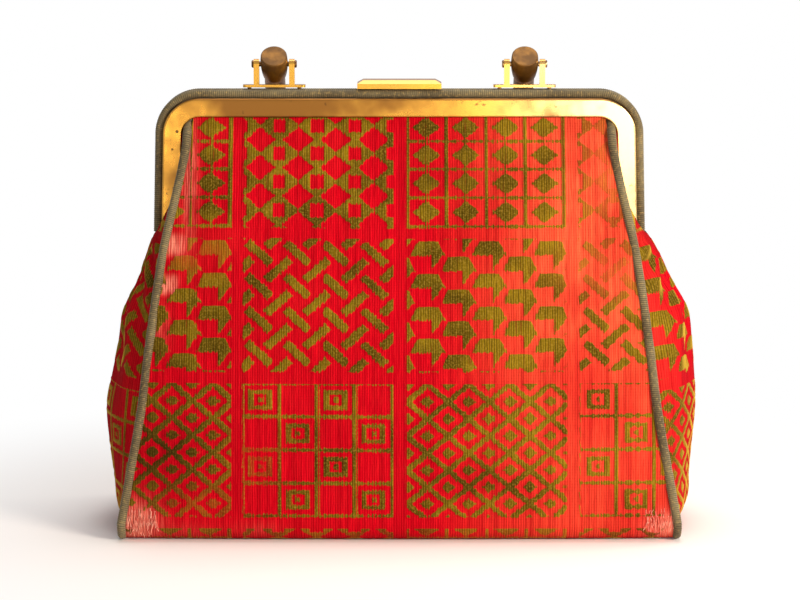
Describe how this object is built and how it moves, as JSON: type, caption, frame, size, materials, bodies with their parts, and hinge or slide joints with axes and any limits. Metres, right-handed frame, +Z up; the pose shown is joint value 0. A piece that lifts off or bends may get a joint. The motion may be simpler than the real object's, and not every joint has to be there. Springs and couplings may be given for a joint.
{
  "type": "framed velvet handbag",
  "caption": "Trapezoid handbag in cut velvet with corded seams, a hinged brass frame edged with cord, a lifting clasp plate and a carrying handle that swings on brass brackets.",
  "frame": {"origin": "middle of the base, on the surface that the bag stands on", "axes": "+Z up, +X across the bag, the front panel faces -Y"},
  "size_m": [0.2938, 0.1362, 0.2401],
  "materials": {
    "velvet": "cut velvet, red ribbed ground with olive pile",
    "cord": "ribbed gimp cord, taupe olive",
    "lining": "plain twill",
    "board": "pressed board",
    "brass": "aged, brushed",
    "ferrule": "dark bronzed",
    "grip": "leather covered rod"
  },
  "bodies": {
    "bag": {"velvet_front": "velvet", "velvet_back": "velvet", "velvet_base": "velvet", "gusset_left": "velvet", "gusset_right": "velvet", "piping_left": "cord", "piping_right": "cord", "lining": "lining", "base_board": "board", "hinge_rivet_left": "brass", "hinge_rivet_right": "brass"},
    "front_half": {"front_frame": "brass", "front_welt": "cord", "clasp_catch": "brass"},
    "back_half": {"back_frame": "brass", "back_welt": "cord", "bracket_left": "brass", "bracket_right": "brass", "bracket_rivets": "brass", "handle_pin_left": "brass", "handle_pin_right": "brass", "clasp_hinge_leaf": "brass", "clasp_leaf_rivets": "brass", "clasp_hinge_pin": "brass"},
    "handle": {"handle_grip": "grip", "ferrule_left": "ferrule", "ferrule_right": "ferrule"},
    "clasp": {"clasp_plate": "brass"}
  },
  "joints": [
    {"name": "front_hinge", "type": "hinge", "parent": "bag", "child": "front_half", "pos_m": [0, 0, 0.148], "axis": [1, 0, 0], "range_deg": [0, 40], "deforming": ["velvet_front", "gusset_left", "gusset_right", "piping_left", "piping_right", "lining"]},
    {"name": "back_hinge", "type": "hinge", "parent": "bag", "child": "back_half", "pos_m": [0, 0, 0.148], "axis": [-1, 0, 0], "range_deg": [0, 40], "deforming": ["velvet_back"]},
    {"name": "handle_swing", "type": "hinge", "parent": "back_half", "child": "handle", "pos_m": [0, 0.0046, 0.23125], "axis": [1, 0, 0], "range_deg": [0, 225]},
    {"name": "clasp_lift", "type": "hinge", "parent": "back_half", "child": "clasp", "pos_m": [0, 0.0102, 0.22135], "axis": [-1, 0, 0], "range_deg": [0, 100]}
  ]
}
